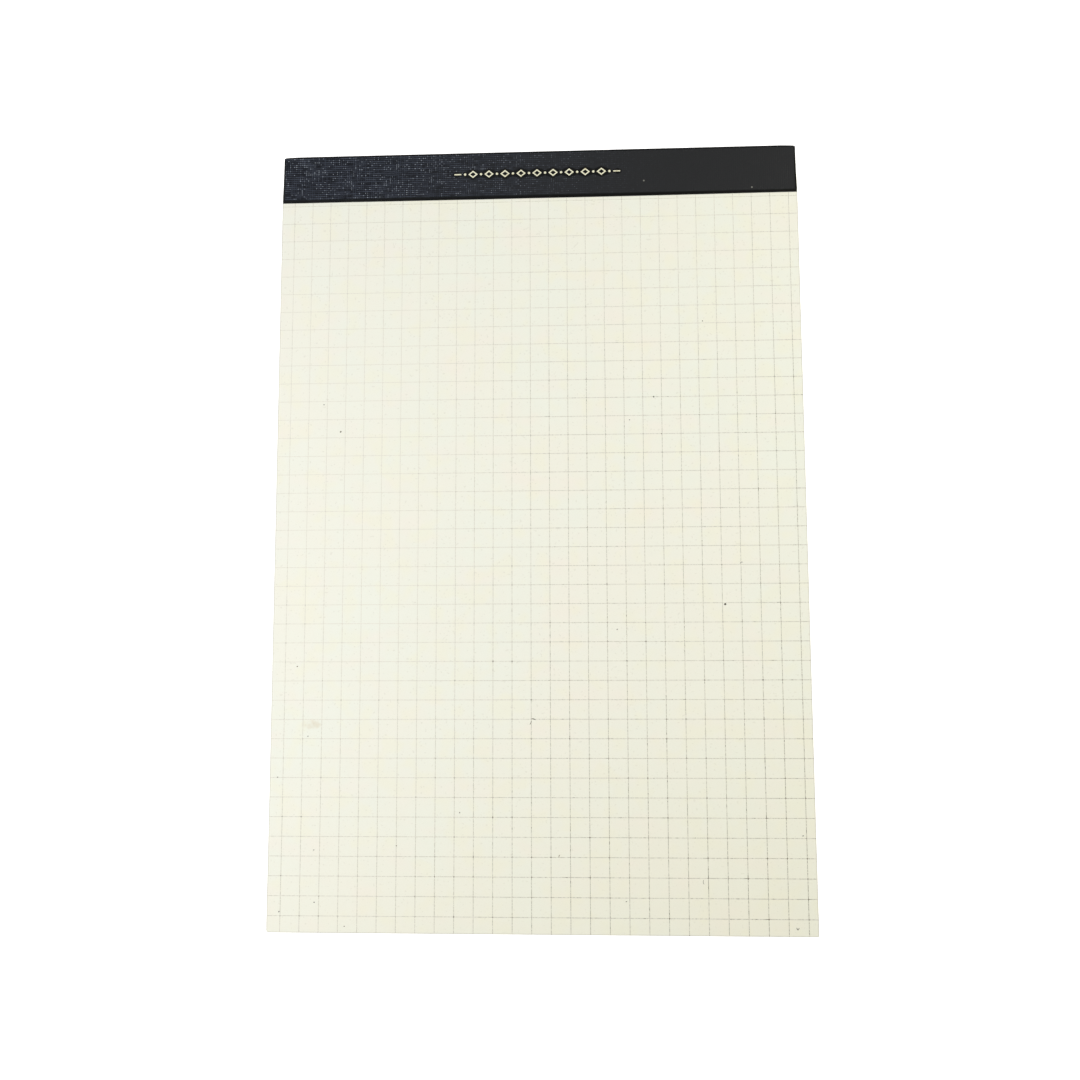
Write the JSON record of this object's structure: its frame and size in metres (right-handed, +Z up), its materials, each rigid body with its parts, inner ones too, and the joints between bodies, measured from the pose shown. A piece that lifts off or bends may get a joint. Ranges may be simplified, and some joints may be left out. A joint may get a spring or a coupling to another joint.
{
  "type": "writing pad",
  "caption": "Writing pad of cream squared sheets on a chipboard back, bound at the head by a dark folded strip with a gold stamped ornament.",
  "frame": {"origin": "under the middle of the pad, on the surface that it lies on", "axes": "+X across the sheets to the right as they are read, +Y along the sheets towards the bound head, +Z up out of the writing face"},
  "size_m": [0.141, 0.2086, 0.0077],
  "materials": {
    "cream_paper": "uncoated, printed with fine grey squares",
    "grey_board": "raw chipboard",
    "padding_glue": "dried film",
    "charcoal_paper": "linen embossed, slight sheen",
    "gold_foil": "hot stamped foil"
  },
  "bodies": {
    "root": {"sheet_block": "cream_paper", "backing_board": "grey_board", "spine_glue": "padding_glue", "binding_strip": "charcoal_paper", "foil_ornament": "gold_foil"}
  },
  "joints": []
}
